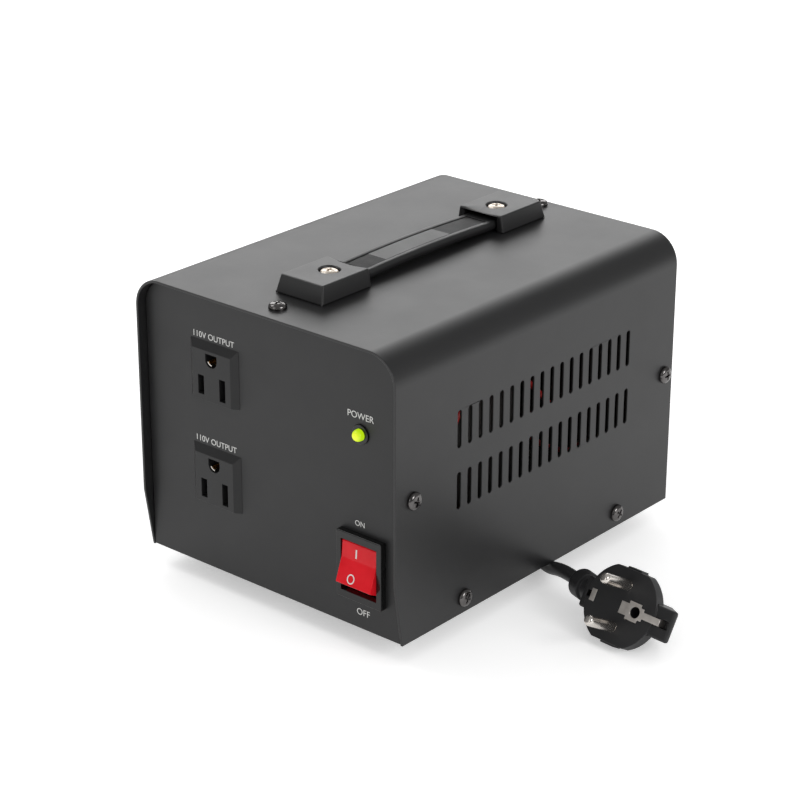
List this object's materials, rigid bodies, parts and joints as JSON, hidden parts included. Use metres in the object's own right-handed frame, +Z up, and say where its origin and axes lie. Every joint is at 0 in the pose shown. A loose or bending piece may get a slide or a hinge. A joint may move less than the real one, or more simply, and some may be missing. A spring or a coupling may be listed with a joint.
{
  "type": "step-down voltage converter",
  "caption": "Portable step-down voltage converter: vented steel case with strap handle, grounded outlets, lit rocker switch, pilot lamp and a coiled mains cord with a round-pin plug.",
  "frame": {"origin": "middle of the case's footprint, on the surface that the feet stand on", "axes": "+Z up, the front panel with the outlets faces -Y, +X to the right seen from the front"},
  "size_m": [0.2799, 0.3128, 0.1495],
  "materials": {
    "case_paint": "satin dark grey powder coat",
    "panel_paint": "matt dark grey paint",
    "case_screw": "dark nickel plating",
    "zinc": "zinc plated",
    "nickel": "polished nickel plating",
    "foot_rubber": "black moulded rubber",
    "cap_plastic": "fine-grained black plastic",
    "strap_rubber": "flexible black vinyl",
    "outlet_plastic": "black moulded plastic",
    "contact_brass": "stamped brass",
    "lamp_green": "glowing yellow-green diffused lens",
    "bezel_black": "glossy black plastic",
    "rocker_red": "translucent red plastic",
    "core_steel": "varnished silicon-steel laminations",
    "bracket_steel": "zinc plated sheet",
    "bobbin_nylon": "natural nylon",
    "copper": "enamelled copper wire",
    "tape": "amber insulating tape",
    "wire_red": "red insulation",
    "wire_black": "black insulation",
    "wire_earth": "green and yellow insulation",
    "breaker_plastic": "black thermoset plastic",
    "button_white": "white plastic",
    "cord_black": "black vinyl sheath",
    "plug_black": "black moulded vinyl",
    "tie_black": "black strap"
  },
  "bodies": {
    "case": {"cover": "case_paint", "base_pan": "panel_paint", "front_panel": "panel_paint", "rear_panel": "panel_paint", "panel_rivets": "zinc", "side_screws": "case_screw", "top_screws": "case_screw", "feet": "foot_rubber", "foot_screws": "zinc", "foot_nuts": "zinc", "handle_cap_front": "cap_plastic", "handle_cap_rear": "cap_plastic", "handle_screws": "nickel", "handle_nuts": "zinc", "socket_lower": "outlet_plastic", "socket_lower_contacts": "contact_brass", "socket_upper": "outlet_plastic", "socket_upper_contacts": "contact_brass", "lamp_lens": "lamp_green", "lamp_bezel": "bezel_black", "lamp_nut": "bezel_black", "switch_housing": "bezel_black", "switch_neon": "nickel", "switch_terminals": "contact_brass", "transformer_core": "core_steel", "transformer_bobbin": "bobbin_nylon", "primary_winding": "copper", "secondary_winding": "copper", "winding_tape": "tape", "transformer_brackets": "bracket_steel", "transformer_bolts": "zinc", "transformer_nuts": "zinc", "bracket_screws": "zinc", "breaker_body": "breaker_plastic", "breaker_nut": "zinc", "breaker_terminals": "contact_brass", "earth_stud": "zinc", "earth_tags": "zinc", "red_wires": "wire_red", "black_wires": "wire_black", "earth_wires": "wire_earth", "lamp_wires": "wire_black", "strain_relief": "plug_black", "cord_coil": "cord_black", "coil_tie": "tie_black", "cord_lead": "cord_black", "cord_tail": "cord_black", "plug_body": "plug_black", "plug_pins": "nickel", "plug_earth_clips": "nickel"},
    "switch_rocker": {"switch_rocker": "rocker_red"},
    "breaker_button": {"breaker_button": "button_white"},
    "strap_end_front": {"strap_end_front": "strap_rubber"},
    "strap_arm_front": {"strap_arm_front": "strap_rubber"},
    "strap_middle": {"strap_middle": "strap_rubber"},
    "strap_arm_rear": {"strap_arm_rear": "strap_rubber"},
    "strap_end_rear": {"strap_end_rear": "strap_rubber"}
  },
  "joints": [
    {"name": "rocker_hinge", "type": "hinge", "parent": "case", "child": "switch_rocker", "pos_m": [0.0529, -0.0917, 0.04], "axis": [1, 0, 0], "range_deg": [0, 28]},
    {"name": "breaker_reset", "type": "slide", "parent": "case", "child": "breaker_button", "axis": [0, -1, 0], "range_m": [0, 0.0022], "stiffness_N_per_m": 400},
    {"name": "strap_slide_front", "type": "slide", "parent": "case", "child": "strap_end_front", "axis": [0, 1, 0], "range_m": [0, 0.00395]},
    {"name": "strap_lift", "type": "hinge", "parent": "strap_end_front", "child": "strap_arm_front", "pos_m": [0, -0.041, 0.1444], "axis": [1, 0, 0], "range_deg": [0, 30]},
    {"name": "strap_bend_front", "type": "hinge", "parent": "strap_arm_front", "child": "strap_middle", "pos_m": [0, -0.013, 0.1446], "axis": [1, 0, 0], "range_deg": [-30.5, 0.5]},
    {"name": "strap_bend_rear", "type": "hinge", "parent": "strap_middle", "child": "strap_arm_rear", "pos_m": [0, 0.013, 0.1446], "axis": [1, 0, 0], "range_deg": [-30.5, 0.5]},
    {"name": "strap_level_rear", "type": "hinge", "parent": "strap_arm_rear", "child": "strap_end_rear", "pos_m": [0, 0.041, 0.1444], "axis": [1, 0, 0], "range_deg": [-0.5, 30.5]}
  ],
  "couplings": [
    {"joint": "strap_slide_front", "follows": "strap_lift", "m_per_rad": 0.007355},
    {"joint": "strap_bend_front", "follows": "strap_lift", "ratio": -1},
    {"joint": "strap_bend_rear", "follows": "strap_lift", "ratio": -1},
    {"joint": "strap_level_rear", "follows": "strap_lift", "ratio": 1}
  ]
}
